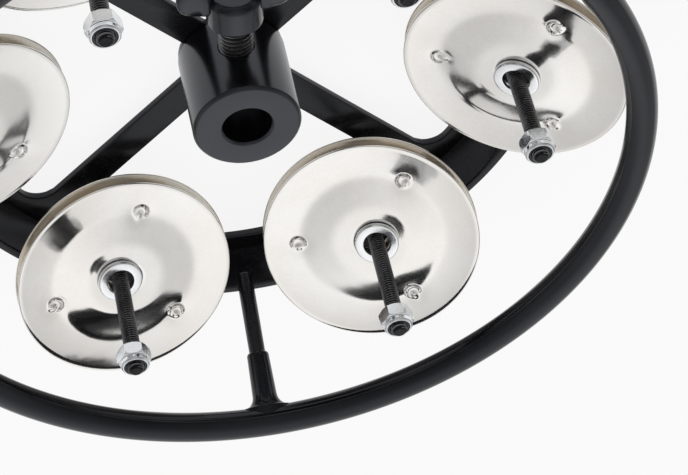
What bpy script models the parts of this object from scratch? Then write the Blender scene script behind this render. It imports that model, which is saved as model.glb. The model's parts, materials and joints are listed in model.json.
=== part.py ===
"""Hi-hat tambourine: a spoked wheel on a clamp hub carries pairs of jingles on long bolts,
with a round guard ring held above the wheel on slanted struts."""
import math

import bmesh
import bpy
from mathutils import Matrix, Vector

MM = 0.001

# Clearance between pieces that touch
GAP = 0.3 * MM
BEVEL = 0.5 * MM

# Stations around the wheel
STATIONS = 6
BOLT_CIRCLE_R = 63.1 * MM
SPOKES = 4
STRUTS = 3

# Jingle bolts, nuts, washers and spacers
BOLT_R = 2.0 * MM
BOLT_FREE = 45.2 * MM
BOLT_HEAD_OVER = 2.0 * MM
BOLT_HEAD_H = 2.4 * MM
NUT_HEX_H = 3.4 * MM
NUT_COLLAR_H = 1.6 * MM
NUT_WALL = 0.4 * MM
NUT_TO_TIP = 1.3 * MM
INSERT_WALL = 0.5 * MM
WASHER_PLAY = 1.2 * MM
WASHER_W = 2.2 * MM
WASHER_T = 1.3 * MM
SPACER_WALL = 2.7 * MM

# Jingles: a flange that flares up to the rim, a crease, and a raised flat middle round the hole
JINGLE_R = 26.5 * MM
JINGLE_PLAY = 2.2 * MM
JINGLE_T = 0.6 * MM
CREASE_R = 17.4 * MM
FLANGE_FALL = 1.3 * MM
FLARE_POWER = 1.4
MIDDLE_R = 10.4 * MM
WALL_RISE = 1.45 * MM
EDGE_CLEAR = 0.3 * MM
TILTS = [math.radians(a) for a in (20.0, 18.5, 22.5, 26.0, 20.0, 21.0)]
LIFTS = [h * MM for h in (0.0, 0.75, 0.0, 2.7, 0.0, 0.4)]
SLIPS = [w * MM for w in (-0.5, 1.6, -1.2, 0.6, 0.4, -0.7)]
LOWER_OUT = 0.2 * MM
UPPER_OUT = 0.8 * MM

# Wheel: one pressed sheet with spokes, floor ring, ears and a slanted wall
SHEET = 2.0 * MM
SPOKE_W = 7.6 * MM
SPOKE_FILLET = 5.2 * MM
FLOOR_LIP = 1.0 * MM
FLOOR_MARGIN = 0.4 * MM
WALL_H = 9.2 * MM
WALL_RUN = 4.0 * MM
EAR_W = 1.5 * MM

# Hub and its clamp screw
HUB_BORE_R = 5.5 * MM
HUB_WALL = 7.0 * MM
HUB_H = 23.3 * MM
SCREW_R = 4.0 * MM
SCREW_Z = 9.0 * MM
SCREW_BARE = 8.0 * MM
SCREW_HELD = 5.5 * MM
KNOB_WALL = 2.2 * MM
KNOB_CAP = 2.2 * MM
WING_SPAN = 13.0 * MM
WING_T = 3.0 * MM
WING_RISE = 6.0 * MM

# Guard ring and its struts
RING_R = 87.1 * MM
RING_TUBE_R = 3.6 * MM
RING_Z = 41.2 * MM
STRUT_R = 2.0 * MM
STRUT_FOOT = 4.0 * MM
SOCKET_LEN = 17.5 * MM
SOCKET_WALL = 0.7 * MM
SOCKET_GRIP = 9.0 * MM

# Levels, measured from the surface that the bolt heads stand on
FLOOR_Z = BOLT_HEAD_H + GAP
TOP_Z = FLOOR_Z + SHEET

# Radii that follow the bolt
SPACER_R = BOLT_R + GAP + SPACER_WALL
JINGLE_HOLE_R = BOLT_R + JINGLE_PLAY
WASHER_HOLE_R = BOLT_R + WASHER_PLAY
POCKET_R = BOLT_R + 2 * GAP + INSERT_WALL
COLLAR_R = POCKET_R + NUT_WALL
NUT_H = NUT_HEX_H + NUT_COLLAR_H
EAR_R = SPACER_R + EAR_W

# Radii that follow the hub's bore
HUB_R = HUB_BORE_R + HUB_WALL
SPIGOT_R = HUB_BORE_R + HUB_WALL / 2
CENTRE_R = HUB_R - GAP

# Radii of the wheel's section
FLOOR_IN_R = BOLT_CIRCLE_R + FLOOR_LIP
FLOOR_OUT_R = BOLT_CIRCLE_R + SPACER_R + FLOOR_MARGIN
WALL_LEN = math.hypot(WALL_RUN, WALL_H)
RIM_W = SHEET * WALL_LEN / WALL_H
RIM_IN_R = FLOOR_OUT_R + WALL_RUN
RIM_OUT_R = RIM_IN_R + RIM_W

# Half the height of a jingle pair, flange to flange
HALF_PAIR = FLANGE_FALL + JINGLE_T + GAP / 2
MIDDLE = WALL_RISE - FLANGE_FALL


def pair_drop(tilt):
    """Height of a tilted pair's centre above its spacer, when it leans over the spacer's edge."""
    return GAP + (HALF_PAIR + MIDDLE) / math.cos(tilt) + SPACER_R * math.tan(tilt)


def edge_drop(tilt):
    """How far the low edge of a tilted pair lies below its centre."""
    return HALF_PAIR * math.cos(tilt) + JINGLE_R * math.sin(tilt)


# The spacers lift the pairs until no low edge meets the spokes
SPACER_TOP = TOP_Z + EDGE_CLEAR + max(edge_drop(t) - pair_drop(t) for t in TILTS)

# Smoothness of the round pieces
FINE = 64
ROUND = 24
SMALL = 12


def material(name, colour, metallic, rough):
    mat = bpy.data.materials.new(name)
    mat.use_nodes = True
    bsdf = mat.node_tree.nodes["Principled BSDF"]
    bsdf.inputs["Base Color"].default_value = (*colour, 1.0)
    bsdf.inputs["Metallic"].default_value = metallic
    bsdf.inputs["Roughness"].default_value = rough
    return mat


def solid(name, bm, look, place=None, parent=None):
    """Make a named object from a closed mesh, with its faces outward and its round sides smooth."""
    bmesh.ops.recalc_face_normals(bm, faces=bm.faces)
    mesh = bpy.data.meshes.new(name)
    bm.to_mesh(mesh)
    bm.free()
    mesh.materials.append(look)
    mesh.shade_smooth()
    mesh.set_sharp_from_angle(angle=math.radians(35))
    obj = bpy.data.objects.new(name, mesh)
    bpy.context.collection.objects.link(obj)
    obj.parent = parent
    obj.matrix_local = place if place is not None else Matrix.Identity(4)
    return obj


def turned(profile, steps):
    """Turn a closed profile of (radius, height) points about the upright axis."""
    steps = int(steps)
    bm = bmesh.new()
    verts = [bm.verts.new((r, 0.0, z)) for r, z in profile]
    edges = [bm.edges.new((verts[i], verts[(i + 1) % len(verts)])) for i in range(len(verts))]
    bmesh.ops.spin(
        bm, geom=verts + edges, cent=(0, 0, 0), axis=(0, 0, 1), angle=2 * math.pi,
        steps=steps, use_merge=True, use_duplicate=False,
    )
    bmesh.ops.remove_doubles(bm, verts=bm.verts, dist=1e-7)
    lone = [e for e in bm.edges if not e.link_faces]
    bmesh.ops.delete(bm, geom=lone, context="EDGES")
    return bm


def plate(outline, low, high):
    """Raise a flat outline of (x, y) points into a plate."""
    bm = bmesh.new()
    face = bm.faces.new([bm.verts.new((x, y, low)) for x, y in outline])
    grown = bmesh.ops.extrude_face_region(bm, geom=[face])
    up = [v for v in grown["geom"] if isinstance(v, bmesh.types.BMVert)]
    bmesh.ops.translate(bm, verts=up, vec=(0, 0, high - low))
    return bm


def rod(radius, low, high, steps):
    """A plain round bar along the upright axis, with a flat side toward +X."""
    return plate(circle(radius, steps, math.pi / steps), low, high)


def circle(radius, steps, phase=0.0):
    steps = int(steps)
    turn = [phase + 2 * math.pi * i / steps for i in range(steps)]
    return [(radius * math.cos(a), radius * math.sin(a)) for a in turn]


def tube_profile(inner, outer, low, high, edge=0.0):
    """Section of a sleeve with its outer corners broken by edge."""
    if edge == 0.0:
        return [(inner, low), (inner, high), (outer, high), (outer, low)]
    return [
        (inner, low), (inner, high), (outer - edge, high),
        (outer, high - edge), (outer, low + edge), (outer - edge, low),
    ]


def shape(obj, others, operation):
    """Join other solids to an object, or cut them from it."""
    for other in others:
        mod = obj.modifiers.new(operation, "BOOLEAN")
        mod.operation = operation
        mod.solver = "EXACT"
        mod.object = other
        bpy.context.view_layer.update()
        done = bpy.data.meshes.new_from_object(obj.evaluated_get(bpy.context.evaluated_depsgraph_get()))
        obj.modifiers.clear()
        old = obj.data
        obj.data = done
        done.name = obj.name
        bpy.data.meshes.remove(old)
        bpy.data.objects.remove(other)
    obj.data.shade_smooth()
    obj.data.set_sharp_from_angle(angle=math.radians(35))


def spun(angle):
    return Matrix.Rotation(angle, 4, "Z")


def along(start, end):
    """Frame at start whose upright axis points to end."""
    turn = (end - start).to_track_quat("Z", "Y").to_matrix().to_4x4()
    return Matrix.Translation(start) @ turn


def station_angle(index, count=STATIONS):
    return 2 * math.pi * index / count


def window_outline(mid):
    """One opening between two spokes: hub disc inside, floor ring and ears outside, filleted corners."""
    half = SPOKE_W / 2
    wide = math.pi / SPOKES
    centre_y = half + SPOKE_FILLET
    centre_r = FLOOR_IN_R - SPOKE_FILLET
    turn = math.asin(centre_y / centre_r)
    start = wide - math.atan2(half, centre_r * math.cos(turn))
    outer = []
    steps = 48
    for i in range(steps + 1):
        angle = start * (2 * i / steps - 1)
        reach = FLOOR_IN_R
        past = abs(angle) - (wide - turn)
        if past > 0:
            side = min(centre_r * math.sin(past), SPOKE_FILLET)
            reach = centre_r * math.cos(past) + math.sqrt(SPOKE_FILLET ** 2 - side ** 2)
        for k in range(STATIONS):
            off = angle + mid - station_angle(k)
            cross = BOLT_CIRCLE_R * math.sin(off)
            if math.cos(off) > 0 and abs(cross) < EAR_R:
                reach = min(reach, BOLT_CIRCLE_R * math.cos(off) - math.sqrt(EAR_R ** 2 - cross ** 2))
        outer.append((reach * math.cos(angle + mid), reach * math.sin(angle + mid)))
    inner = []
    finish = wide - math.asin(half / CENTRE_R)
    for i in range(9):
        angle = mid + finish * (1 - 2 * i / 8)
        inner.append((CENTRE_R * math.cos(angle), CENTRE_R * math.sin(angle)))
    return outer + inner


def jingle_section():
    """Closed section of a jingle sheet, its rim at height zero, hole edge first."""
    flange = JINGLE_R - CREASE_R
    share = 0.5
    flare = FLANGE_FALL * share ** FLARE_POWER
    top = [
        (JINGLE_HOLE_R, MIDDLE),
        (MIDDLE_R, MIDDLE),
        (CREASE_R, -FLANGE_FALL),
        (CREASE_R + share * flange, flare - FLANGE_FALL),
        (JINGLE_R, 0.0),
    ]
    return top + [(r, z - JINGLE_T) for r, z in reversed(top)]


def strut_line():
    """Foot and head of the strut's axis in the plane of its angle."""
    head = Vector((RING_R, 0.0, TOP_Z + RING_Z))
    rim = Vector((RIM_IN_R + RIM_W / 2, 0.0, TOP_Z + WALL_H))
    foot = rim - (head - rim).normalized() * STRUT_FOOT
    return foot, head


def build_wheel(look):
    section = [
        (SPIGOT_R + GAP, FLOOR_Z), (SPIGOT_R + GAP, TOP_Z), (FLOOR_OUT_R, TOP_Z),
        (RIM_IN_R, TOP_Z + WALL_H), (RIM_OUT_R, TOP_Z + WALL_H),
        (FLOOR_OUT_R + RIM_W - WALL_RUN * SHEET / WALL_H, FLOOR_Z),
    ]
    wheel = solid("wheel", turned(section, FINE + 8), look)
    low = FLOOR_Z - SHEET
    high = TOP_Z + SHEET
    cuts = []
    for i in range(SPOKES):
        outline = window_outline(station_angle(i, SPOKES))
        cuts.append(solid("window", plate(outline, low, high), look))
    for i in range(STATIONS):
        place = spun(station_angle(i)) @ Matrix.Translation((BOLT_CIRCLE_R, 0, 0))
        cuts.append(solid("hole", rod(BOLT_R + GAP, low, high, SMALL), look, place))
    foot, head = strut_line()
    below = foot - (head - foot).normalized() * GAP
    for i in range(STRUTS):
        place = spun(station_angle(i, STRUTS) + math.pi / 2) @ along(below, head)
        cuts.append(solid("notch", rod(STRUT_R + GAP, 0.0, 3 * STRUT_FOOT, SMALL), look, place))
    shape(wheel, cuts, "DIFFERENCE")
    return wheel


def build_hub(look):
    top = TOP_Z + HUB_H
    section = [
        (HUB_BORE_R, FLOOR_Z), (HUB_BORE_R, top - BEVEL), (HUB_BORE_R + BEVEL, top),
        (HUB_R - BEVEL, top), (HUB_R, top - BEVEL), (HUB_R, TOP_Z + GAP),
        (SPIGOT_R, TOP_Z + GAP), (SPIGOT_R, FLOOR_Z),
    ]
    hub = solid("hub", turned(section, 40), look)
    hole = rod(SCREW_R + GAP, 0.0, 2 * HUB_R, ROUND)
    side = Matrix.Translation((0, 0, TOP_Z + SCREW_Z)) @ Matrix.Rotation(math.pi / 2, 4, "X")
    shape(hub, [solid("drill", hole, look, side)], "DIFFERENCE")
    return hub


def screw_frame():
    """Frame on the clamp screw's axis, pointing away from the hub."""
    return Matrix.Translation((0, 0, TOP_Z + SCREW_Z)) @ Matrix.Rotation(math.pi / 2, 4, "X")


def build_clamp(look_screw, look_knob):
    tip = HUB_BORE_R + GAP
    start = HUB_R + SCREW_BARE
    end = start + SCREW_HELD
    section = [(0.0, tip), (SCREW_R - BEVEL, tip), (SCREW_R, tip + BEVEL), (SCREW_R, end), (0.0, end)]
    solid("clamp_screw", turned(section, ROUND), look_screw, screw_frame())
    bore = SCREW_R + GAP
    outer = bore + KNOB_WALL
    cap = end + GAP + KNOB_CAP
    body = [
        (0.0, cap), (0.0, end + GAP), (bore, end + GAP), (bore, start),
        (outer - BEVEL, start), (outer, start + BEVEL), (outer, cap - BEVEL), (outer - BEVEL, cap),
    ]
    knob = solid("clamp_wing", turned(body, ROUND), look_knob, screw_frame())
    wings = []
    half = (cap - start) / 2
    for side in (-1, 1):
        span = WING_SPAN - half
        mid = start + half + WING_RISE / 2
        root = [(side * (bore + KNOB_WALL / 2), start + BEVEL), (side * (bore + KNOB_WALL / 2), cap - BEVEL)]
        tipped = []
        for i in range(9):
            a = math.pi / 2 - math.pi * i / 8
            tipped.append((side * (span + half * math.cos(a)), mid + half * math.sin(a)))
        flat = plate(root + tipped, -WING_T / 2, WING_T / 2)
        wings.append(solid("wing", flat, look_knob, screw_frame() @ Matrix.Rotation(math.pi / 2, 4, "X")))
    shape(knob, wings, "UNION")


def build_ring(look):
    section = [(RING_R + x, TOP_Z + RING_Z + z) for x, z in circle(RING_TUBE_R, SMALL, math.pi / SMALL)]
    ring = solid("outer_ring", turned(section, FINE + 8), look)
    foot, head = strut_line()
    bore = STRUT_R + GAP
    mouth = bore + SOCKET_WALL
    stem = [
        (0.0, 0.0), (RING_TUBE_R * 0.8, 0.0), (mouth + 2 * BEVEL, RING_TUBE_R),
        (mouth + BEVEL, 2 * RING_TUBE_R), (mouth, SOCKET_LEN - BEVEL), (mouth - BEVEL / 2, SOCKET_LEN),
        (0.0, SOCKET_LEN),
    ]
    stems = []
    bores = []
    for i in range(STRUTS):
        place = spun(station_angle(i, STRUTS) + math.pi / 2) @ along(head, foot)
        stems.append(solid("stem", turned(stem, 20), look, place))
        deep = rod(bore, SOCKET_LEN - SOCKET_GRIP, SOCKET_LEN + RING_TUBE_R, SMALL)
        bores.append(solid("bore", deep, look, place))
    shape(ring, stems, "UNION")
    shape(ring, bores, "DIFFERENCE")


def build_struts(look):
    foot, head = strut_line()
    length = (head - foot).length - SOCKET_LEN + SOCKET_GRIP - GAP
    section = [
        (0.0, 0.0), (STRUT_R - BEVEL, 0.0), (STRUT_R, BEVEL),
        (STRUT_R, length - BEVEL), (STRUT_R - BEVEL, length), (0.0, length),
    ]
    for i in range(STRUTS):
        place = spun(station_angle(i, STRUTS) + math.pi / 2) @ along(foot, head)
        solid(f"strut_{i + 1}", turned(section, SMALL), look, place)


def build_station(index, looks):
    """One jingle station: bolt, spacer, jingle pair, washer and lock nut."""
    tag = index + 1
    tilt = TILTS[index]
    axis = bpy.data.objects.new(f"station_{tag}", None)
    bpy.context.collection.objects.link(axis)
    axis.matrix_local = spun(station_angle(index)) @ Matrix.Translation((BOLT_CIRCLE_R, 0, 0))

    tip = TOP_Z + BOLT_FREE
    head = BOLT_R + BOLT_HEAD_OVER
    shaft = [
        (0.0, 0.0), (head - BEVEL, 0.0), (head, BEVEL), (head, BOLT_HEAD_H),
        (BOLT_R, BOLT_HEAD_H), (BOLT_R, tip - BEVEL), (BOLT_R - BEVEL, tip), (0.0, tip),
    ]
    solid(f"jingle_bolt_{tag}", turned(shaft, SMALL), looks["bolt"], None, axis)

    sleeve = tube_profile(BOLT_R + GAP, SPACER_R, TOP_Z + GAP, SPACER_TOP)
    solid(f"spacer_{tag}", turned(sleeve, SMALL), looks["spacer"], None, axis)

    centre = SPACER_TOP + pair_drop(tilt) + LIFTS[index]
    lean = Matrix.Translation((0, 0, centre)) @ Matrix.Rotation(-tilt, 4, "Y")
    for name, sign, out in (("lower", -1, LOWER_OUT), ("upper", 1, UPPER_OUT)):
        slip = lean @ Matrix.Translation((out, SLIPS[index], 0))
        section = [(r, sign * (HALF_PAIR + z)) for r, z in jingle_section()]
        solid(f"{name}_jingle_{tag}", turned(section, ROUND), looks["jingle"], slip, axis)

    rest = HALF_PAIR + MIDDLE + GAP + WASHER_T / 2
    over = lean @ Matrix.Translation((rest * math.tan(tilt), 0, rest))
    ring = tube_profile(WASHER_HOLE_R, WASHER_HOLE_R + WASHER_W, -WASHER_T / 2, WASHER_T / 2)
    solid(f"washer_{tag}", turned(ring, 20), looks["washer"], over, axis)

    low = tip - NUT_TO_TIP - NUT_H
    hexagon = circle((COLLAR_R + BEVEL / 10) / math.cos(math.pi / 6), 6)
    nut = solid(f"lock_nut_{tag}", plate(hexagon, low, low + NUT_HEX_H), looks["nut"], None, axis)
    collar = rod(COLLAR_R, low + NUT_HEX_H / 2, low + NUT_H, 20)
    shape(nut, [solid("collar", collar, looks["nut"], None, axis)], "UNION")
    bore = solid("bore", rod(BOLT_R + GAP, low - NUT_H, low + 2 * NUT_H, SMALL), looks["nut"], None, axis)
    pocket = solid("pocket", rod(POCKET_R, low + NUT_HEX_H, low + 2 * NUT_H, SMALL), looks["nut"], None, axis)
    shape(nut, [bore, pocket], "DIFFERENCE")
    grip = tube_profile(BOLT_R + GAP, POCKET_R - GAP, low + NUT_HEX_H + GAP, low + NUT_H - GAP)
    solid(f"nut_insert_{tag}", turned(grip, SMALL), looks["insert"], None, axis)


def main():
    for obj in list(bpy.data.objects):
        bpy.data.objects.remove(obj)
    black = material("painted_black", (0.012, 0.012, 0.014), 0.0, 0.35)
    hoop = material("hoop_black", (0.018, 0.018, 0.02), 0.0, 0.3)
    dark = material("satin_dark_metal", (0.07, 0.07, 0.075), 0.8, 0.4)
    oxide = material("black_oxide", (0.015, 0.015, 0.016), 0.6, 0.45)
    nickel = material("bright_nickel", (0.82, 0.79, 0.74), 1.0, 0.12)
    zinc = material("bright_zinc", (0.75, 0.78, 0.82), 1.0, 0.25)
    nylon = material("dark_nylon", (0.02, 0.03, 0.05), 0.0, 0.5)
    looks = {
        "bolt": oxide, "spacer": black, "jingle": nickel, "washer": zinc, "nut": zinc, "insert": nylon,
    }
    build_wheel(black)
    build_hub(dark)
    build_clamp(oxide, dark)
    build_ring(hoop)
    build_struts(black)
    for index in range(STATIONS):
        build_station(index, looks)


main()
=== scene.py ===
# %% [markdown]
# # Dressing a hi-hat tambourine
# A wheel of black pressed steel is clamped on the rod of a hi-hat stand. Long black bolts carry pairs of
# loose nickel jingles, and a round guard ring stands above them on slanted struts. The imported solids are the
# frame of the model. Each cell below makes one kind of piece as a finer surface in the same place, gives it
# its finish, and lets it ride on the body that moves it.

# %% Load the frame
import json
import math

import bmesh
import bpy
import numpy as np
from mathutils import Matrix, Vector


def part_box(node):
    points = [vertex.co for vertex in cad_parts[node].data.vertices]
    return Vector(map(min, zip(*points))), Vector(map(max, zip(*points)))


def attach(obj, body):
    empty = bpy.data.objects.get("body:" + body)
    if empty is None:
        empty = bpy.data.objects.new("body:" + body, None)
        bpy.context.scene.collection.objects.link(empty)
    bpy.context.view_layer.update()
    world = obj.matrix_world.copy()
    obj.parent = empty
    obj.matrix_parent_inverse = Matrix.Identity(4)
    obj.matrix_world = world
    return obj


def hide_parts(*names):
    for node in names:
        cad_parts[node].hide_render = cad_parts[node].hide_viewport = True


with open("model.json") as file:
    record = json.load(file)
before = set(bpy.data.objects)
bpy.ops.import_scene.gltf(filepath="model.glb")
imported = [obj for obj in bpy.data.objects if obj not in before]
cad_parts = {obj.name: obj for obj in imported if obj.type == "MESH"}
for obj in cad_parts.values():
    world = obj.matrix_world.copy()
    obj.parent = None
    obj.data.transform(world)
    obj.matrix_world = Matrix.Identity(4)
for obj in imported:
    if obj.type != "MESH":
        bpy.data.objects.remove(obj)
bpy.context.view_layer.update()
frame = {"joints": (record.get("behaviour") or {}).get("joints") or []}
joints = {joint["name"]: joint for joint in frame["joints"]}

# %% [markdown]
# ## Grids of points
# Nearly every piece here is round or follows a path, so one function serves them all: it takes a grid of
# points, rows along one parameter and columns along the other, and joins neighbours with four-sided faces.
# A grid can close on itself in either direction, as a hoop does in both. Working on whole arrays keeps this
# quick, and the formula for each shape stays readable in the function that computes its points.

# %% Helpers that turn grids into pieces
MM = 0.001
TURN = 2.0 * np.pi
SAME_POINT = 1e-7
CREASE_ANGLE = math.radians(38.0)
# The most that a rounded corner takes of its shorter side
SIDE_SHARE = 0.45
# How a grid closes: along its rows, along its columns, and by a cap at each end
SKIN = (True, True, False)
BAR = (False, True, True)


def grid_faces(rows, columns, close_rows, close_columns, first):
    """Corner numbers of the faces between each point, its right neighbour and the two above them."""
    last_row = rows if close_rows else rows - 1
    last_column = columns if close_columns else columns - 1
    i, j = np.meshgrid(np.arange(last_row), np.arange(last_column), indexing="ij")
    up, right = (i + 1) % rows, (j + 1) % columns
    corners = (i * columns + j, i * columns + right, up * columns + right, up * columns + j)
    return np.stack(corners, axis=-1).reshape(-1, 4) + first


def shell_mesh(name, shells):
    """One mesh from several shells, each a grid followed by how it closes."""
    points, faces, count = [], [], 0
    for grid, close_rows, close_columns, capped in shells:
        rows, columns = grid.shape[:2]
        points.append(grid.reshape(-1, 3))
        faces += grid_faces(rows, columns, close_rows, close_columns, count).tolist()
        if capped:
            faces.append((np.arange(columns)[::-1] + count).tolist())
            faces.append((np.arange(columns) + count + (rows - 1) * columns).tolist())
        count += rows * columns
    mesh = bpy.data.meshes.new(name)
    mesh.from_pydata(np.concatenate(points).tolist(), [], faces)
    return mesh


def make_piece(name, shells, finish, body, nodes, marks=None):
    """One piece from several shells. A mark from 0 to 1 per point may tell its finish the inward side of a
    sheet, or the crest of a thread."""
    mesh = shell_mesh(name, shells)
    if marks is not None:
        mesh.attributes.new("mark", "FLOAT", "POINT").data.foreach_set("value", marks.ravel().astype(float))
    mesh.validate()
    return finish_piece(name, mesh, finish, body, nodes)


def outward(mesh):
    """Merge points that coincide and turn every face of a closed shell outward."""
    shell = bmesh.new()
    shell.from_mesh(mesh)
    bmesh.ops.remove_doubles(shell, verts=shell.verts, dist=SAME_POINT)
    bmesh.ops.recalc_face_normals(shell, faces=shell.faces)
    shell.to_mesh(mesh)
    shell.free()


def smoothed(mesh):
    """Shade a mesh smooth, except where its faces meet at a clear crease."""
    mesh.shade_smooth()
    mesh.set_sharp_from_angle(angle=CREASE_ANGLE)


def in_scene(name, data):
    """A new object in the scene."""
    thing = bpy.data.objects.new(name, data)
    bpy.context.scene.collection.objects.link(thing)
    return thing


def finish_piece(name, mesh, finish, body, nodes):
    """Give the mesh its finish, and hang the object on the body that it moves with."""
    outward(mesh)
    mesh.materials.clear()
    mesh.materials.append(finish)
    smoothed(mesh)
    piece = in_scene(name, mesh)
    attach(piece, body)
    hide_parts(*nodes)
    return piece


def turned(profile, steps, phase=0.0):
    """Carry a profile of (radius, height) round the upright axis: x = r cos a, y = r sin a, z = height. The
    steps are a number of even ones, or the angles themselves."""
    profile = np.asarray(profile, float)
    angle = phase + TURN * np.arange(steps) / steps if np.ndim(steps) == 0 else steps
    radius, height = profile[:, :1], profile[:, 1:]
    x, y = radius * np.cos(angle), radius * np.sin(angle)
    return np.stack((x, y, np.broadcast_to(height, x.shape)), axis=-1)


def placed(grid, axes, origin):
    """Move local points into the world: origin plus each coordinate along its own axis."""
    return grid @ axes + origin


def rounded(corners, radius, steps=4, closed=True):
    """Round the corners of a profile: each corner becomes a short curve between points on its two sides."""
    corners = np.asarray(corners, float)
    before = np.roll(corners, 1, axis=0) - corners
    after = np.roll(corners, -1, axis=0) - corners
    size_before = np.linalg.norm(before, axis=1, keepdims=True)
    size_after = np.linalg.norm(after, axis=1, keepdims=True)
    radius = np.broadcast_to(np.asarray(radius, float).reshape(-1, 1), (len(corners), 1))
    reach = np.minimum(radius, SIDE_SHARE * np.minimum(size_before, size_after))
    if not closed:
        reach[[0, -1]] = 0.0
    start = corners + before / size_before * reach
    end = corners + after / size_after * reach
    s = np.linspace(0.0, 1.0, steps + 1)[None, :, None]
    curve = (1 - s) ** 2 * start[:, None] + 2 * s * (1 - s) * corners[:, None] + s ** 2 * end[:, None]
    points = curve.reshape(-1, 2)
    apart = np.linalg.norm(points - np.roll(points, 1, axis=0), axis=1) > SAME_POINT
    return points[apart]


def stretches(parts):
    """Even steps within each of several stretches, given as (from, to, count)."""
    return np.concatenate([np.linspace(*part) for part in parts])


def heading(angle):
    """Unit arrows at an angle round the axis: outward, and across that."""
    return (np.array([math.cos(angle), math.sin(angle), 0.0]),
            np.array([-math.sin(angle), math.cos(angle), 0.0]))


# %% [markdown]
# ## The levels and sizes
# The boxes of the nodes and the places of the joints give the levels that the pieces below share. Sizes that
# no box shows, such as the thickness of a sheet, follow the solids; the finest details are the scene's own.

# %% Levels, stations and tilts
STATIONS, SHEET = 6, 2.0 * MM
wheel_low, wheel_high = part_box("wheel")
hub_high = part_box("hub")[1]
ring_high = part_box("outer_ring")[1]
spacer_low, spacer_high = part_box("spacer_1")
nut_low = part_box("lock_nut_1")[0]
bolt_low, bolt_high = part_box("jingle_bolt_1")
PLATE_LOW = wheel_low[2]
PLATE_TOP = PLATE_LOW + SHEET
BOLT_CIRCLE = (bolt_low[0] + bolt_high[0]) / 2
stations = []
for k in range(1, STATIONS + 1):
    spin = joints[f"washer_{k}_spin"]
    normal = np.array(spin["axis"]) / np.linalg.norm(spin["axis"])
    out, across = heading(TURN * (k - 1) / STATIONS)
    stations.append({
        "k": k, "foot": BOLT_CIRCLE * out, "axes": np.stack((np.cross(across, normal), across, normal)),
        "pair": np.array(joints[f"lower_jingle_{k}_slide"]["pos_m"]), "washer": np.array(spin["pos_m"]),
    })
print("plate top", round(PLATE_TOP / MM, 2), "bolt circle", round(BOLT_CIRCLE / MM, 2))

# %% [markdown]
# ## Shared surface effects
# Real metal is never one flat value. Paint has a faint orange peel, plating carries hazy patches from
# handling and fine polishing marks, and turned steel keeps rings from the tool. Each effect is a small node
# group that reads Object coordinates and puts out masks and heights, so every finish can use it with its own
# numbers. A painted texture could hold the same detail, but it would need unwrapping and would blur up close.

# %% Node groups: haze, turned rings and grain


def new_group(name, values, results):
    """An empty shader node group: a vector and named values go in, named values come out."""
    group = bpy.data.node_groups.new(name, "ShaderNodeTree")
    group.interface.new_socket("Vector", in_out="INPUT", socket_type="NodeSocketVector")
    for label, value in values.items():
        socket = group.interface.new_socket(label, in_out="INPUT", socket_type="NodeSocketFloat")
        socket.default_value = value
    for label in results:
        group.interface.new_socket(label, in_out="OUTPUT", socket_type="NodeSocketFloat")
    enter = group.nodes.new("NodeGroupInput")
    leave = group.nodes.new("NodeGroupOutput")
    return group, enter.outputs, leave.inputs


def add(tree, kind, settings=None, **inputs):
    """Add a node; inputs are set by name, from a value or from another node's output."""
    node = tree.nodes.new(kind)
    for key, value in (settings or {}).items():
        setattr(node, key, value)
    for key, value in inputs.items():
        put(tree, node, key.replace("_", " "), value)
    return node


def put(tree, node, key, value):
    """Link an output to the input with this name, or this number as in i0, or set the input's own value."""
    socket = node.inputs[int(key[1:])] if key[0] == "i" and key[1:].isdigit() else node.inputs[key]
    if isinstance(value, bpy.types.NodeSocket):
        tree.links.new(value, socket)
    else:
        socket.default_value = value


def maths(tree, operation, a, b=0.0):
    """One operation on two values, or on one alone where it takes no second."""
    return add(tree, "ShaderNodeMath", {"operation": operation}, i0=a, i1=b).outputs[0]


def ramp(tree, value, start, stop, low=0.0, high=1.0):
    """A smooth change from low to high while a value goes from start to stop."""
    return add(tree, "ShaderNodeMapRange", {"interpolation_type": "SMOOTHSTEP"}, Value=value,
               From_Min=start, From_Max=stop, To_Min=low, To_Max=high).outputs[0]


def haze_group():
    """Soft cloudy patches with finer mottling in them: two noises, one broad and one fine, mixed."""
    group, given, result = new_group(
        "handling haze", {"Patch Scale": 60.0, "Fine Scale": 900.0, "Fine Share": 0.3}, ("Mask", "Fine"))
    broad = add(group, "ShaderNodeTexNoise", Vector=given["Vector"], Scale=given["Patch Scale"],
                Detail=4.0, Roughness=0.55)
    fine = add(group, "ShaderNodeTexNoise", Vector=given["Vector"], Scale=given["Fine Scale"],
               Detail=2.0, Roughness=0.6)
    mottling = maths(group, "SUBTRACT", fine.outputs[0], 0.5)
    mixed = maths(group, "ADD", broad.outputs[0], maths(group, "MULTIPLY", mottling, given["Fine Share"]))
    group.links.new(ramp(group, mixed, start=0.36, stop=0.68), result["Mask"])
    group.links.new(fine.outputs[0], result["Fine"])
    return group


def rings_group():
    """Rings round the upright axis: a noise of the distance from it alone."""
    group, given, result = new_group("turned rings", {"Ring Scale": 2200.0}, ("Height",))
    flat = add(group, "ShaderNodeVectorMath", {"operation": "MULTIPLY"},
               i0=given["Vector"], i1=(1.0, 1.0, 0.0))
    size = add(group, "ShaderNodeVectorMath", {"operation": "LENGTH"}, i0=flat.outputs[0])
    stretched = add(group, "ShaderNodeCombineXYZ", X=size.outputs["Value"])
    lines = add(group, "ShaderNodeTexNoise", Vector=stretched.outputs[0], Scale=given["Ring Scale"],
                Detail=3.0, Roughness=0.7)
    group.links.new(lines.outputs[0], result["Height"])
    return group


def grain_group():
    """Fine even grain of sprayed paint: a smooth noise near the size of a paint droplet."""
    group, given, result = new_group("paint grain", {"Grain Scale": 1500.0}, ("Height",))
    peel = add(group, "ShaderNodeTexNoise", Vector=given["Vector"], Scale=given["Grain Scale"],
               Detail=2.0, Roughness=0.5)
    group.links.new(peel.outputs[0], result["Height"])
    return group


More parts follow.
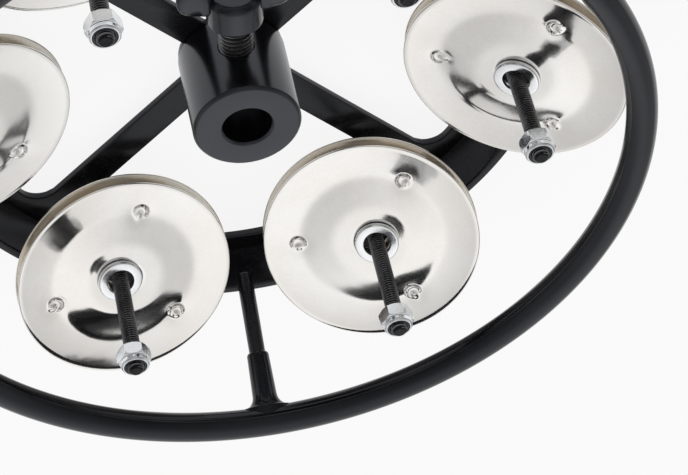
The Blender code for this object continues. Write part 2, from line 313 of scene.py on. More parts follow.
HAZE, RINGS, GRAIN = haze_group(), rings_group(), grain_group()
print("node groups", len(bpy.data.node_groups))

# %% [markdown]
# ## The finishes
# The photograph shows four families: black paint on the pressed wheel and the guard ring, black oxide on the
# threads, bright warm nickel on the jingles, and cool zinc on the washers and nuts. Each gets a Principled
# shader whose roughness, colour and normal come from the groups above.

# %% Materials
SKY_TINT = (0.86, 0.89, 1.0, 1.0)


def new_finish(name, metallic, **plain):
    """A material with its Principled shader and Object coordinates, ready for the groups."""
    finish = bpy.data.materials.new(name)
    finish.use_nodes = True
    tree = finish.node_tree
    shader = tree.nodes["Principled BSDF"]
    shader.inputs["Metallic"].default_value = metallic
    for key, value in plain.items():
        shader.inputs[key.replace("_", " ")].default_value = value
    place = add(tree, "ShaderNodeTexCoord").outputs["Object"]
    return finish, tree, shader, place


def use(tree, group, place, **inputs):
    """Place a shared group in a material with its own values."""
    return add(tree, "ShaderNodeGroup", {"node_tree": group}, Vector=place, **inputs).outputs


def mark(tree):
    """The marks that a piece carries on its points."""
    return add(tree, "ShaderNodeAttribute", {"attribute_name": "mark"}).outputs["Fac"]


def spread(tree, mask, low, high):
    """Map a mask to a range of values."""
    return add(tree, "ShaderNodeMapRange", Value=mask, To_Min=low, To_Max=high).outputs[0]


def blend(tree, mask, first, second):
    """Mix two colours, plain ones or outputs, by a mask. A Mix node has its colours at inputs 6 and 7."""
    first, second = ((*side, 1.0) if isinstance(side, tuple) else side for side in (first, second))
    return add(tree, "ShaderNodeMix", {"data_type": "RGBA"}, i0=mask, i6=first, i7=second).outputs[2]


def dressed(tree, shader, colour, roughness):
    """Send a colour and a roughness to the shader."""
    put(tree, shader, "Base Color", colour)
    put(tree, shader, "Roughness", roughness)


def bumped(tree, shader, height, distance, strength):
    """Send a height to the shader's normal."""
    bump = add(tree, "ShaderNodeBump", Height=height, Distance=distance, Strength=strength)
    put(tree, shader, "Normal", bump.outputs[0])


def paint_finish(name, dark, light, smooth, rough, shine):
    """Sprayed black paint: grain in the normal, haze in the colour and the roughness."""
    finish, tree, shader, place = new_finish(name, 0.0, Specular_IOR_Level=shine, Specular_Tint=SKY_TINT)
    haze = use(tree, HAZE, place, Patch_Scale=55.0, Fine_Scale=1300.0, Fine_Share=0.5)["Mask"]
    grain = use(tree, GRAIN, place, Grain_Scale=1500.0)["Height"]
    dressed(tree, shader, blend(tree, haze, dark, light), spread(tree, haze, smooth, rough))
    bumped(tree, shader, grain, distance=0.03 * MM, strength=0.12)
    return finish


def hoop_finish(name):
    """Glossy black coating, drawn along the guard ring: its streaks follow the distance from the axis."""
    finish, tree, shader, place = new_finish(name, 0.0, Specular_IOR_Level=0.4, Specular_Tint=SKY_TINT)
    haze = use(tree, HAZE, place, Patch_Scale=55.0, Fine_Scale=1300.0, Fine_Share=0.5)["Mask"]
    streaks = use(tree, RINGS, place, Ring_Scale=1100.0)["Height"]
    tone = blend(tree, haze, (0.003, 0.003, 0.0035), (0.006, 0.006, 0.007))
    dressed(tree, shader, tone, spread(tree, streaks, 0.06, 0.26))
    bumped(tree, shader, streaks, distance=0.08 * MM, strength=0.25)
    return finish


def oxide_finish(name):
    """Black oxide on cut threads: dark metal whose crests are painted brighter as a painted highlight along
    the thread lines, more in some patches.
    """
    finish, tree, shader, place = new_finish(name, 0.9)
    haze = use(tree, HAZE, place, Patch_Scale=160.0, Fine_Scale=2600.0, Fine_Share=0.6)
    groove = blend(tree, haze["Mask"], (0.010, 0.010, 0.011), (0.025, 0.025, 0.027))
    # The crests' brighter colour is a painted highlight: the grey lines of light along the thread
    crest_highlight = blend(tree, haze["Mask"], (0.12, 0.12, 0.125), (0.22, 0.22, 0.23))
    tone = blend(tree, mark(tree), groove, crest_highlight)
    dressed(tree, shader, tone, spread(tree, haze["Mask"], 0.26, 0.40))
    bumped(tree, shader, haze["Fine"], distance=0.03 * MM, strength=0.4)
    return finish


def nickel_finish(name):
    """Bright nickel over stamped steel: warm mirror, hazy patches and a faint waviness of the sheet; the side
    that faces the other jingle is painted browner, duller and less metallic: painted light in the shaded gap
    between the pair."""
    finish, tree, shader, place = new_finish(name, 1.0)
    haze = use(tree, HAZE, place, Patch_Scale=38.0, Fine_Scale=1500.0, Fine_Share=0.25)["Mask"]
    inside = mark(tree)
    bright = blend(tree, haze, (0.80, 0.775, 0.74), (0.86, 0.845, 0.82))
    # The underside's browner tone, with less metal and more roughness, is painted light in the shaded gap
    # between the pair
    gap_light_brown = blend(tree, haze, (0.80, 0.73, 0.63), (0.90, 0.86, 0.79))
    polish = maths(tree, "ADD", spread(tree, haze, 0.07, 0.14), maths(tree, "MULTIPLY", inside, 0.1))
    dressed(tree, shader, blend(tree, inside, bright, gap_light_brown), polish)
    put(tree, shader, "Metallic", spread(tree, inside, 1.0, 0.7))
    wave = add(tree, "ShaderNodeTexNoise", Vector=place, Scale=120.0, Detail=2.0).outputs[0]
    sand = add(tree, "ShaderNodeTexNoise", Vector=place, Scale=3200.0, Detail=1.0).outputs[0]
    height = maths(tree, "ADD", wave, maths(tree, "MULTIPLY", sand, 0.04))
    bumped(tree, shader, height, distance=0.4 * MM, strength=0.12)
    return finish


def zinc_finish(name, dull, clean):
    """Blue-white zinc plate: a finer, cooler and duller sheen than the nickel."""
    finish, tree, shader, place = new_finish(name, 1.0)
    haze = use(tree, HAZE, place, Patch_Scale=220.0, Fine_Scale=3000.0, Fine_Share=0.5)
    tone = blend(tree, haze["Mask"], dull, clean)
    dressed(tree, shader, tone, spread(tree, haze["Mask"], 0.11, 0.24))
    bumped(tree, shader, haze["Fine"], distance=0.03 * MM, strength=0.35)
    return finish


def hub_finish(name):
    """Satin black on a turned hub: tool rings on the face show through the thin coating."""
    finish, tree, shader, place = new_finish(name, 0.0, Specular_IOR_Level=0.68, Specular_Tint=SKY_TINT)
    haze = use(tree, HAZE, place, Patch_Scale=90.0, Fine_Scale=1800.0, Fine_Share=0.4)["Mask"]
    rings = use(tree, RINGS, place, Ring_Scale=2600.0)["Height"]
    tone = blend(tree, haze, (0.003, 0.003, 0.0036), (0.006, 0.006, 0.007))
    dressed(tree, shader, tone, spread(tree, rings, 0.17, 0.29))
    bumped(tree, shader, rings, distance=0.03 * MM, strength=0.12)
    return finish


def nylon_finish(name):
    """Dark nylon of the nut's locking ring: matte, with fine moulded mottling."""
    finish, tree, shader, place = new_finish(name, 0.0)
    haze = use(tree, HAZE, place, Patch_Scale=400.0, Fine_Scale=3500.0, Fine_Share=0.5)["Mask"]
    tone = blend(tree, haze, (0.010, 0.012, 0.016), (0.030, 0.033, 0.040))
    dressed(tree, shader, tone, spread(tree, haze, 0.42, 0.6))
    return finish


WHEEL_PAINT = paint_finish("wheel satin paint", (0.0035, 0.0035, 0.004), (0.006, 0.006, 0.007),
                           smooth=0.20, rough=0.30, shine=0.3)
STRUT_PAINT = paint_finish("strut satin paint", (0.010, 0.010, 0.0115), (0.016, 0.016, 0.018),
                           smooth=0.24, rough=0.34, shine=0.5)
HOOP_PAINT = hoop_finish("guard ring coating")
OXIDE = oxide_finish("black oxide thread")
NICKEL = nickel_finish("bright nickel sheet")
ZINC = zinc_finish("bright zinc plate", (0.72, 0.745, 0.77), (0.86, 0.88, 0.90))
WASHER_ZINC = zinc_finish("clean zinc plate", (0.84, 0.855, 0.87), (0.94, 0.95, 0.96))
HUB_SATIN = hub_finish("turned satin black")
NYLON = nylon_finish("dark nylon")
print("materials", len(bpy.data.materials))

# %% [markdown]
# ## The jingles
# A jingle is a thin stamped disc. Its flange falls from the rim to a sharp crease, and inside the crease the
# sheet rises again as a low dome with a flat middle round the hole. The mirror finish shows this shape: the
# dome's outer wall carries the guard ring's reflection as a dark crescent, and the flaring flange shows the
# nut. Three small burrs are pierced through the sheet at the crease and roughen the sound. The section is a
# height over the radius, softened as a press leaves it, then carried round as one closed skin with its
# thickness. The burrs are added as a height over the whole grid, so they grow out of the sheet instead of
# sitting on it. A pair hangs loosely, so each lies a little to one side of its bolt, as its solids do.

# %% Jingle sheets
JINGLE_R, JINGLE_HOLE, JINGLE_T, HALF_PAIR = 26.5 * MM, 4.2 * MM, 0.6 * MM, 2.05 * MM
CREASE_R, MIDDLE_R, SOFT_TURN, PAST_RIM = 17.6 * MM, 9.5 * MM, 0.8 * MM, 3.0 * MM
# Tilts in degrees at the inner and the outer end, of the flange and of each pair's wall
FLANGE_TILT = (3.7, 12.1)
WALL_TILTS = {1: (9.2, 9.8), 2: (11.2, 8.2), 3: (8.4, 9.4), 4: (9.6, 10.8), 5: (9.0, 9.9), 6: (9.4, 9.4)}
# Rows of a sheet's top and underside, as (from, to, count): the top's are closest where the burrs stand
EDGE, LAP_ROWS = JINGLE_T / 2, 5
TOP_ROWS = ((JINGLE_HOLE + EDGE, 10.4 * MM, 9), (10.9 * MM, 15.4 * MM, 11), (15.6 * MM, 20.6 * MM, 26),
            (21.4 * MM, JINGLE_R - EDGE, 6))
LOW_ROWS = ((JINGLE_R - EDGE, 18.4 * MM, 5), (17.9 * MM, 10.4 * MM, 14), (9.6 * MM, JINGLE_HOLE + EDGE, 6))
# Burrs: their circle, the band of the sheet that they change, and the extra columns near each
BURR_R, BURR_BAND = 18.0 * MM, (12.0 * MM, 24.0 * MM)
BURR_COLUMNS, LEAST_STEP = np.linspace(-0.13, 0.13, 27), 0.004
# In degrees, the first burr's direction at each pair and the lower disc's further turn; in radians, a stray
BURR_TURNS, LOWER_TURN, BURR_STRAY = {1: 15.0, 2: -50.0, 3: 3.0, 4: 62.0, 5: 40.0, 6: 95.0}, 47.0, 0.4
LIP_R, LIP_W, LIP_H = 1.75 * MM, 0.26 * MM, 0.6 * MM
TEAR_SHARP, TEAR_SHARE, TEAR_WAVE = 2.6, 0.25, 0.15
TONGUE_AT, TONGUE_TURN, TONGUE_H = 0.9 * MM, 3.1, 0.5 * MM
TONGUE_LONG, TONGUE_WIDE = 1.0 * MM, 0.75 * MM
DENT_R, DENT_H = 2.9 * MM, 0.3 * MM


def softened(height, step, reach):
    """Average of a profile over a Gaussian reach."""
    far = int(3 * reach / step)
    share = np.exp(-0.5 * (np.arange(-far, far + 1) * step / reach) ** 2)
    return np.convolve(np.pad(height, far, mode="edge"), share / share.sum(), mode="valid")


def sheet_height(radius, wall, steps=2400):
    """Height of the sheet's top over the rim, the running sum of its slope: level in the middle, falling
    along the dome's wall, rising along the flange. Each turn is softened. The wall's tilts differ a little
    from pair to pair, which sets each reflection in its own place."""
    fine = np.linspace(0.0, JINGLE_R + PAST_RIM, steps)
    step = fine[1] - fine[0]
    down = np.interp(fine, (MIDDLE_R, CREASE_R), wall)
    up = np.interp(fine, (CREASE_R, JINGLE_R), FLANGE_TILT)
    tilt = np.select((fine < MIDDLE_R, fine < CREASE_R), (0.0 * fine, -down), up)
    height = np.cumsum(softened(np.tan(np.radians(tilt)), step, SOFT_TURN)) * step
    return np.interp(radius, fine, height) - np.interp(JINGLE_R, fine, height)


def burr_height(grid, turn, twist):
    """A burr at one direction: a torn lip exp(-((d - R)/w)^2) round a little more than half of a pierced
    point, with a bent tongue of sheet in it, in a shallow dent."""
    out, across = heading(turn)
    along = grid[..., :2] @ out[:2] - BURR_R
    aside = grid[..., :2] @ across[:2]
    away, bearing = np.hypot(along, aside), np.arctan2(aside, along) - twist
    tear = np.cos(bearing) + TEAR_SHARE + TEAR_WAVE * np.sin(3.0 * bearing)
    lip = LIP_H * (0.5 + 0.5 * np.tanh(TEAR_SHARP * tear)) * np.exp(-((away - LIP_R) / LIP_W) ** 2)
    tongue_along = (along - TONGUE_AT * math.cos(twist + TONGUE_TURN)) / TONGUE_LONG
    tongue_aside = (aside - TONGUE_AT * math.sin(twist + TONGUE_TURN)) / TONGUE_WIDE
    tongue = TONGUE_H * np.exp(-(tongue_along ** 2 + tongue_aside ** 2))
    return lip + tongue - DENT_H * np.exp(-(away / DENT_R) ** 2)


def jingle_grid(side, burrs, wall, steps=216):
    """Closed skin of one jingle about its own axis: top outward from the hole, round the rim, back below. The
    columns crowd together near the burrs. The marks are 1 on the underside."""
    r_top, r_low = stretches(TOP_ROWS), stretches(LOW_ROWS)
    z_top, z_low = sheet_height(r_top, wall), sheet_height(r_low, wall) - JINGLE_T
    lap = np.linspace(np.pi / 2, -np.pi / 2, LAP_ROWS + 2)[1:-1]
    rim_r, rim_z = JINGLE_R - EDGE + EDGE * np.cos(lap), z_top[-1] - EDGE + EDGE * np.sin(lap)
    hole_r, hole_z = JINGLE_HOLE + EDGE - EDGE * np.cos(lap), z_top[0] - EDGE - EDGE * np.sin(lap)
    profile = np.stack((np.concatenate((r_top, rim_r, r_low, hole_r)),
                        np.concatenate((z_top, rim_z, z_low, hole_z))), axis=-1)
    near = np.concatenate([turn + BURR_COLUMNS for turn, twist in burrs])
    angles = np.concatenate((TURN * np.arange(steps) / steps, near)) % TURN
    angles = np.unique(np.round(angles, decimals=5))
    angles = angles[np.diff(angles, append=angles[0] + TURN) > LEAST_STEP]
    grid = turned(profile, angles)
    lift = sum(burr_height(grid, turn, twist) for turn, twist in burrs)
    away = np.hypot(grid[..., 0], grid[..., 1])
    grid[..., 2] += np.where((away > BURR_BAND[0]) & (away < BURR_BAND[1]), lift, 0.0)
    grid[..., 2] = side * (grid[..., 2] + HALF_PAIR)
    row, middle = np.arange(len(profile)), LAP_ROWS // 2
    below = (row > len(r_top) + middle) & (row < len(r_top) + LAP_ROWS + len(r_low) + middle)
    return grid, np.broadcast_to(below[:, None], grid.shape[:2])


for station in stations:
    k = station["k"]
    for name, side, turn in (("upper", 1, 0.0), ("lower", -1, LOWER_TURN)):
        middle = np.mean(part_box(f"{name}_jingle_{k}"), axis=0)
        slip = (middle - station["pair"]) @ station["axes"][:2].T
        turns = np.radians(BURR_TURNS[k] + turn + np.array([0.0, 120.0, 240.0]))
        burrs = [(t, np.pi - t + BURR_STRAY * math.sin(5.0 * t + k)) for t in turns]
        skin, below = jingle_grid(side, burrs, WALL_TILTS[k])
        skin = placed(skin, station["axes"], station["pair"] + slip @ station["axes"][:2])
        node = f"{name}_jingle_{k}"
        make_piece(f"nickel_{node}", [(skin, *SKIN)], NICKEL, node, [node], below)
    print("pair", k, "slip", np.round(slip / MM, 2), "points each", skin[..., 0].size)

# %% [markdown]
# ## Washers
# A stamped washer has one slightly rolled edge and one sharper edge. A rounded rectangle carried round the
# hole gives both; the larger radius is on the top, where the punch entered.

# %% Washers
WASHER_HOLE, WASHER_R, WASHER_T = 3.2 * MM, 5.4 * MM, 1.3 * MM
WASHER_EDGES = np.array([0.15, 0.25, 0.5, 0.15]) * MM
washer_corners = [(WASHER_HOLE, -WASHER_T / 2), (WASHER_HOLE, WASHER_T / 2), (WASHER_R, WASHER_T / 2),
                  (WASHER_R, -WASHER_T / 2)]
washer_section = rounded(washer_corners, radius=WASHER_EDGES)
for station in stations:
    node = f"washer_{station['k']}"
    ring = placed(turned(washer_section, steps=72), station["axes"], station["washer"])
    make_piece(f"zinc_{node}", [(ring, *SKIN)], WASHER_ZINC, node, [node])
print("washers", len(stations))

# %% [markdown]
# ## Bolts
# The long screws are threaded from the wheel to the tip. A thread could be a bump on a plain rod, but the
# outline in the photograph is finely toothed, so the ridge is real: a small trapezium carried along a helix,
# standing on a plain core. The ridge fades in and out at its two ends.

# %% Threaded bolts
# The ridge's section: its four points over one pitch, its sinking into the core, and the turns of its fading
RIDGE_POINTS, RIDGE_SINK, RIDGE_FADE = np.array([-0.44, -0.16, 0.16, 0.44]), 0.12, 0.5
BOLT_R, BOLT_ROOT, BOLT_PITCH = 2.0 * MM, 1.6 * MM, 0.7 * MM
HEAD_R, HEAD_H, HEAD_CHAMFER, HEAD_CAP = 4.0 * MM, 2.4 * MM, 0.9 * MM, 0.9 * MM
SHANK_TOP, THREAD_LOW = PLATE_TOP + 0.4 * MM, PLATE_TOP + 0.9 * MM
TIP_CHAMFER, TIP_IN, TIP_BARE = 0.25 * MM, 0.3 * MM, 0.4 * MM


def helix_ridge(root, crest, pitch, low, high, steps=20):
    """Ridge of a thread: for a turn t the section is centred at height low + pitch t; its crest shrinks to
    the root over the first and the last half turn."""
    turns = (high - low) / pitch
    t = np.linspace(0.0, turns, int(turns * steps) + 1)[:, None]
    fade = np.clip(np.minimum(t, turns - t) / RIDGE_FADE, 0.0, 1.0)
    inner, outer = root - RIDGE_SINK * (crest - root) + 0 * t, root + (crest - root) * fade
    radius = np.concatenate((inner, outer, outer, inner), axis=1)
    height = low + pitch * t + pitch * RIDGE_POINTS
    return np.stack((radius * np.cos(TURN * t), radius * np.sin(TURN * t), height), axis=-1)


def threaded(core, ridge):
    """Shells of a threaded rod, and its marks: 0 on the core and the ridge's feet, 1 on its crest lines."""
    marks = np.concatenate((np.zeros(core[..., 0].size), np.tile((0.0, 1.0, 1.0, 0.0), len(ridge))))
    return [(core, *BAR), (ridge, *BAR)], marks


tip = bolt_high[2]
core_corners = [(HEAD_CAP, 0.0), (HEAD_R - HEAD_CHAMFER, 0.0), (HEAD_R, HEAD_CHAMFER), (HEAD_R, HEAD_H),
                (BOLT_R, HEAD_H), (BOLT_R, SHANK_TOP), (BOLT_ROOT, THREAD_LOW),
                (BOLT_ROOT, tip - TIP_CHAMFER), (BOLT_ROOT - TIP_IN, tip)]
core = turned(rounded(core_corners, radius=0.35 * MM, closed=False), steps=32)
ridge = helix_ridge(BOLT_ROOT, BOLT_R, BOLT_PITCH, THREAD_LOW, tip - TIP_BARE)
for station in stations:
    node = f"jingle_bolt_{station['k']}"
    shells, marks = threaded(core + station["foot"], ridge + station["foot"])
    make_piece(f"black_{node}", shells, OXIDE, "frame", [node], marks)
print("bolts", len(stations), "turns of thread", round((tip - PLATE_TOP) / BOLT_PITCH))

# %% [markdown]
# ## Lock nuts
# A lock nut is a hexagon cut from bar with its corners turned off at both ends, and a round collar that is
# rolled over a nylon ring. The outside is one formula: at each height the radius is the smaller of the
# hexagon's and that of the chamfer's cone, which gives the curved edges that a real nut shows.

# %% Lock nuts and their nylon rings
NUT_FLAT, NUT_HEX_H, CHAMFER_SLOPE = 3.55 * MM, 3.4 * MM, 1.6
NUT_ROWS = np.array([0.0, 0.05, 0.12, 0.2, 0.3, 0.42, 1.7, 2.98, 3.1, 3.2, 3.28, 3.35, 3.4]) * MM
# Collar, rolled mouth, pocket and bore of the nut, and the nylon ring, as (radius, height)
NUT_INSIDE = np.array([(3.52, 3.4), (3.42, 3.62), (3.42, 4.55), (2.98, 5.0), (2.72, 4.88), (2.72, 3.5),
                       (2.25, 3.45), (2.25, 0.25), (2.6, 0.0)]) * MM
INSERT = np.array([(2.08, 3.6), (2.08, 4.72), (2.68, 4.78), (2.68, 3.6)]) * MM


def nut_grid(steps=96):
    """Closed skin of the nut: min(hexagon, cone) outside, then collar, mouth, pocket and bore."""
    angle = TURN * np.arange(steps) / steps
    hexagon = NUT_FLAT / np.cos((angle % (TURN / 6)) - TURN / 12)
    cone = NUT_FLAT + CHAMFER_SLOPE * np.minimum(NUT_ROWS, NUT_HEX_H - NUT_ROWS)
    side = np.minimum(hexagon[None, :], cone[:, None])
    rest = rounded(NUT_INSIDE, radius=0.3 * MM, closed=False)
    radius = np.concatenate((side, np.repeat(rest[:, :1], steps, axis=1)))
    height = np.concatenate((NUT_ROWS, rest[:, 1]))
    return np.stack((radius * np.cos(angle), radius * np.sin(angle),
                     np.broadcast_to(height[:, None], radius.shape)), axis=-1)


nut, insert = nut_grid(), turned(rounded(INSERT, radius=0.18 * MM), steps=48)
for station in stations:
    k = station["k"]
    base = station["foot"] + np.array([0.0, 0.0, nut_low[2]])
    make_piece(f"zinc_lock_nut_{k}", [(nut + base, *SKIN)], ZINC, "frame", [f"lock_nut_{k}"])
    make_piece(f"nylon_nut_insert_{k}", [(insert + base, *SKIN)], NYLON, "frame",
               [f"nut_insert_{k}"])
print("nuts", len(stations))

# %% [markdown]
# ## Spacers
# Hidden under each pair, a plain turned sleeve holds the jingles clear of the wheel's rim. It only shows from
# the side, so a section with broken edges and two shallow grip grooves is enough.

# %% Spacers
SPACER_R, SPACER_HOLE = 5.0 * MM, 2.3 * MM
GROOVE_AT, GROOVE_TOP, GROOVE_FLOOR, GROOVE_DEPTH = 1.2 * MM, 0.5 * MM, 0.2 * MM, 0.3 * MM
low, high = spacer_low[2], spacer_high[2]
spacer_corners = [(SPACER_HOLE, low), (SPACER_HOLE, high), (SPACER_R, high)]
for z in ((low + high) / 2 + GROOVE_AT, (low + high) / 2 - GROOVE_AT):
    spacer_corners += [(SPACER_R, z + GROOVE_TOP), (SPACER_R - GROOVE_DEPTH, z + GROOVE_FLOOR),
                       (SPACER_R - GROOVE_DEPTH, z - GROOVE_FLOOR), (SPACER_R, z - GROOVE_TOP)]
spacer_corners += [(SPACER_R, low)]
spacer = turned(rounded(spacer_corners, radius=0.3 * MM, steps=3), steps=48)
for station in stations:
    node = f"spacer_{station['k']}"
    sleeve = spacer + station["foot"]
    make_piece(f"black_{node}", [(sleeve, *SKIN)], WHEEL_PAINT, "frame", [node])
print("spacers", len(stations))

# %% [markdown]
# ## The wheel
# The wheel is one sheet: spokes, floor ring and ears are punched flat, and the rim is pressed up into a
# slanting wall. The flat part is an outline with holes, so a filled curve with a small rounded edge makes it
# in one go. The window outline is polar: for each direction, the nearest of the ring's edge, the ears and the
# corner fillets. The wall is a section carried round, and its inner face rises out of the floor.

# %% Wheel sheet and wall
SPOKES, SPOKE_W, SPOKE_FILLET = 4, 7.6 * MM, 5.2 * MM
FLOOR_IN, FLOOR_OUT = BOLT_CIRCLE + 1.0 * MM, BOLT_CIRCLE + SPACER_R + 0.4 * MM
EAR_R, CENTRE_R, EYE_R, BOLT_HOLE_R = SPACER_R + 1.5 * MM, 12.2 * MM, 9.3 * MM, 2.3 * MM
WALL_H, RIM_IN, RIM_OUT = wheel_high[2] - PLATE_TOP, FLOOR_OUT + 4.0 * MM, wheel_high[0]
SHEET_EDGE, SHEET_LAP, WALL_LIFT = 0.3 * MM, 0.7 * MM, 0.15 * MM
WALL_EDGES = np.array([0.2, 0.45, 0.45, 0.9]) * MM
FAR = 1.0


def window_outline(mid, steps=160, inner_steps=20):
    """Opening between two spokes: outward the least of ring, fillet and ears, inward the centre's disc."""
    half, wide = SPOKE_W / 2, TURN / SPOKES / 2
    centre = FLOOR_IN - SPOKE_FILLET
    turn = math.asin((half + SPOKE_FILLET) / centre)
    start = wide - math.atan2(half, centre * math.cos(turn))
    angle = np.linspace(-start, start, steps)
    past = np.clip(np.abs(angle) - (wide - turn), 0.0, None)
    side = np.minimum(centre * np.sin(past), SPOKE_FILLET)
    reach = np.where(past > 0, centre * np.cos(past) + np.sqrt(SPOKE_FILLET ** 2 - side ** 2), FLOOR_IN)
    off = angle[:, None] + mid - TURN * np.arange(STATIONS)[None, :] / STATIONS
    cross = BOLT_CIRCLE * np.sin(off)
    near = BOLT_CIRCLE * np.cos(off) - np.sqrt(np.clip(EAR_R ** 2 - cross ** 2, 0.0, None))
    ear = np.where((np.cos(off) > 0) & (np.abs(cross) < EAR_R), near, FAR).min(axis=1)
    end = wide - math.asin(half / CENTRE_R)
    radius = np.concatenate((np.minimum(reach, ear), np.full(inner_steps, CENTRE_R)))
    angle = np.concatenate((angle, np.linspace(end, -end, inner_steps))) + mid
    return np.stack((radius * np.cos(angle), radius * np.sin(angle)), axis=-1)


def ring_outline(radius, steps, centre=(0.0, 0.0)):
    """A plain circle as an outline."""
    angle = TURN * np.arange(steps) / steps
    return np.stack((radius * np.cos(angle), radius * np.sin(angle)), axis=-1) + centre


def filled_sheet(name, outlines, low, high, edge):
    """Flat sheet from closed outlines, the first outside and the others holes, with rounded edges."""
    curve = bpy.data.curves.new(name, "CURVE")
    curve.dimensions = "2D"
    curve.fill_mode = "BOTH"
    curve.extrude = (high - low) / 2 - edge
    curve.bevel_depth = edge
    curve.bevel_resolution = 2
    curve.offset = -edge
    for outline in outlines:
        spline = curve.splines.new("POLY")
        spline.points.add(len(outline) - 1)
        spline.use_cyclic_u = True
        rows = np.zeros((len(outline), 4))
        rows[:, :2] = outline
        spline.points.foreach_set("co", rows.ravel())
    maker = in_scene(name, curve)
    bpy.context.view_layer.update()
    mesh = bpy.data.meshes.new_from_object(maker.evaluated_get(bpy.context.evaluated_depsgraph_get()))
    bpy.data.objects.remove(maker)
    bpy.data.curves.remove(curve)
    mesh.transform(Matrix.Translation((0.0, 0.0, (low + high) / 2)))
    return mesh


outlines = [ring_outline(FLOOR_OUT + SHEET_LAP, steps=240), ring_outline(EYE_R, steps=96)]
outlines += [window_outline(TURN * i / SPOKES) for i in range(SPOKES)]
outlines += [ring_outline(BOLT_HOLE_R, 32, station["foot"][:2]) for station in stations]
sheet = filled_sheet("wheel sheet", outlines, PLATE_LOW, PLATE_TOP, SHEET_EDGE)
finish_piece("black_wheel_sheet", sheet, WHEEL_PAINT, "frame", ["wheel"])
slope = (RIM_IN - FLOOR_OUT) / WALL_H
drop = SHEET - WALL_LIFT
wall_corners = [(FLOOR_OUT - slope * drop, PLATE_TOP - drop), (RIM_IN, PLATE_TOP + WALL_H),
                (RIM_OUT, PLATE_TOP + WALL_H), (RIM_OUT - slope * (WALL_H + drop), PLATE_TOP - drop)]
wall = turned(rounded(wall_corners, radius=WALL_EDGES), steps=240)
make_piece("black_wheel_wall", [(wall, *SKIN)], WHEEL_PAINT, "frame", ["wheel"])
print("wheel sheet faces", len(sheet.polygons), "rim", round(RIM_OUT / MM, 2))

# %% [markdown]
# ## The hub
# The hub is a short turned bar with a through bore, its edges broken by small chamfers. A section carried
# round gives the bar; the tapped hole for the clamp screw crosses its wall, which a round section can't have,
# so that hole is cut afterwards.

# %% Hub
HUB_R, HUB_BORE, SPIGOT_R = hub_high[0], 5.5 * MM, 9.0 * MM
HUB_TOP, HUB_BASE = hub_high[2], PLATE_TOP + 0.3 * MM
BORE_CHAMFER, HUB_CHAMFER = 0.6 * MM, 0.7 * MM
SCREW_R, TAPPED_R, TAPPED_REACH = 4.0 * MM, 4.25 * MM, (2.0 * MM, 20.0 * MM)
OFF_THE_SEAM = 0.03
screw_axes = np.array([[1.0, 0.0, 0.0], [0.0, 0.0, 1.0], [0.0, -1.0, 0.0]])
screw_origin = np.array([0.0, 0.0, joints["clamp_turn"]["pos_m"][2]])


def cut(piece, grid):
    """Cut a capped round bar out of a piece and keep the result as its mesh."""
    bar = shell_mesh("bar", [(grid, *BAR)])
    outward(bar)
    tool = in_scene("bar", bar)
    change = piece.modifiers.new("cut", "BOOLEAN")
    change.object, change.operation, change.solver = tool, "DIFFERENCE", "EXACT"
    bpy.context.view_layer.update()
    mesh = bpy.data.meshes.new_from_object(piece.evaluated_get(bpy.context.evaluated_depsgraph_get()))
    piece.modifiers.clear()
    piece.data = mesh
    smoothed(mesh)
    bpy.data.objects.remove(tool)


hub_corners = [(HUB_BORE, PLATE_LOW), (HUB_BORE, HUB_TOP - BORE_CHAMFER), (HUB_BORE + BORE_CHAMFER, HUB_TOP),
               (HUB_R - HUB_CHAMFER, HUB_TOP), (HUB_R, HUB_TOP - HUB_CHAMFER), (HUB_R, HUB_BASE),
               (SPIGOT_R, HUB_BASE), (SPIGOT_R, PLATE_LOW)]
hub_skin = turned(rounded(hub_corners, radius=0.25 * MM), steps=128)
hub = make_piece("satin_hub", [(hub_skin, *SKIN)], HUB_SATIN, "frame", ["hub"])
drill = turned([(TAPPED_R, reach) for reach in TAPPED_REACH], steps=48, phase=OFF_THE_SEAM)
cut(hub, placed(drill, screw_axes, screw_origin))
print("hub faces", len(hub.data.polygons))

# %% [markdown]
# ## The clamp screw and its wing
# A coarse screw crosses the hub's wall and presses on the rod. It is made as the bolts are, a core with a
# helical ridge, laid on its side. Its head lies outside the photograph; a plain cast wing head is the usual
# one. Each wing is a rounded plate: an outline that shrinks towards its two faces.

# %% Clamp screw and wing
SCREW_ROOT, SCREW_PITCH, SCREW_TIP, SCREW_END = 3.32 * MM, 1.25 * MM, 5.8 * MM, 26.0 * MM
SCREW_CAP, POINT_IN, POINT_H, BARE_TIP, BARE_END = 1.2 * MM, 0.6 * MM, 0.7 * MM, 1.0 * MM, 0.8 * MM
# A wing's middle and half span outward; its level and half width at the root, and what the tip adds to each
WING_MID, WING_HALF, WING_T = 8.2 * MM, 4.8 * MM, 1.55 * MM
WING_LEVEL, WING_SWEEP, WING_RISE, WING_FLARE = 24.5 * MM, 3.0 * MM, 3.35 * MM, 0.7 * MM
# How soon it sweeps, how full its outline is, how far its faces draw in, and how it thins from root to tip
SWEPT, FULLNESS, FACE_SHARE, ROOT_T, TIP_LOSS = 0.62, 0.8, 0.97, 1.15, 0.2
# The collar round the screw's end, as (radius, distance from the rod's axis)
COLLAR = np.array([(1.0, 20.5), (5.9, 20.5), (6.5, 21.1), (6.1, 27.2), (4.6, 28.4), (1.0, 28.5)]) * MM
core_corners = [(SCREW_CAP, SCREW_TIP), (SCREW_ROOT - POINT_IN, SCREW_TIP),
                (SCREW_ROOT, SCREW_TIP + POINT_H), (SCREW_ROOT, SCREW_END), (SCREW_CAP, SCREW_END)]
core = turned(rounded(core_corners, radius=0.25 * MM, closed=False), steps=40)
ridge = helix_ridge(SCREW_ROOT, SCREW_R, SCREW_PITCH, SCREW_TIP + BARE_TIP, SCREW_END - BARE_END, steps=32)
shells, marks = threaded(*(placed(grid, screw_axes, screw_origin) for grid in (core, ridge)))
make_piece("black_clamp_screw", shells, OXIDE, "clamp_screw", ["clamp_screw"], marks)


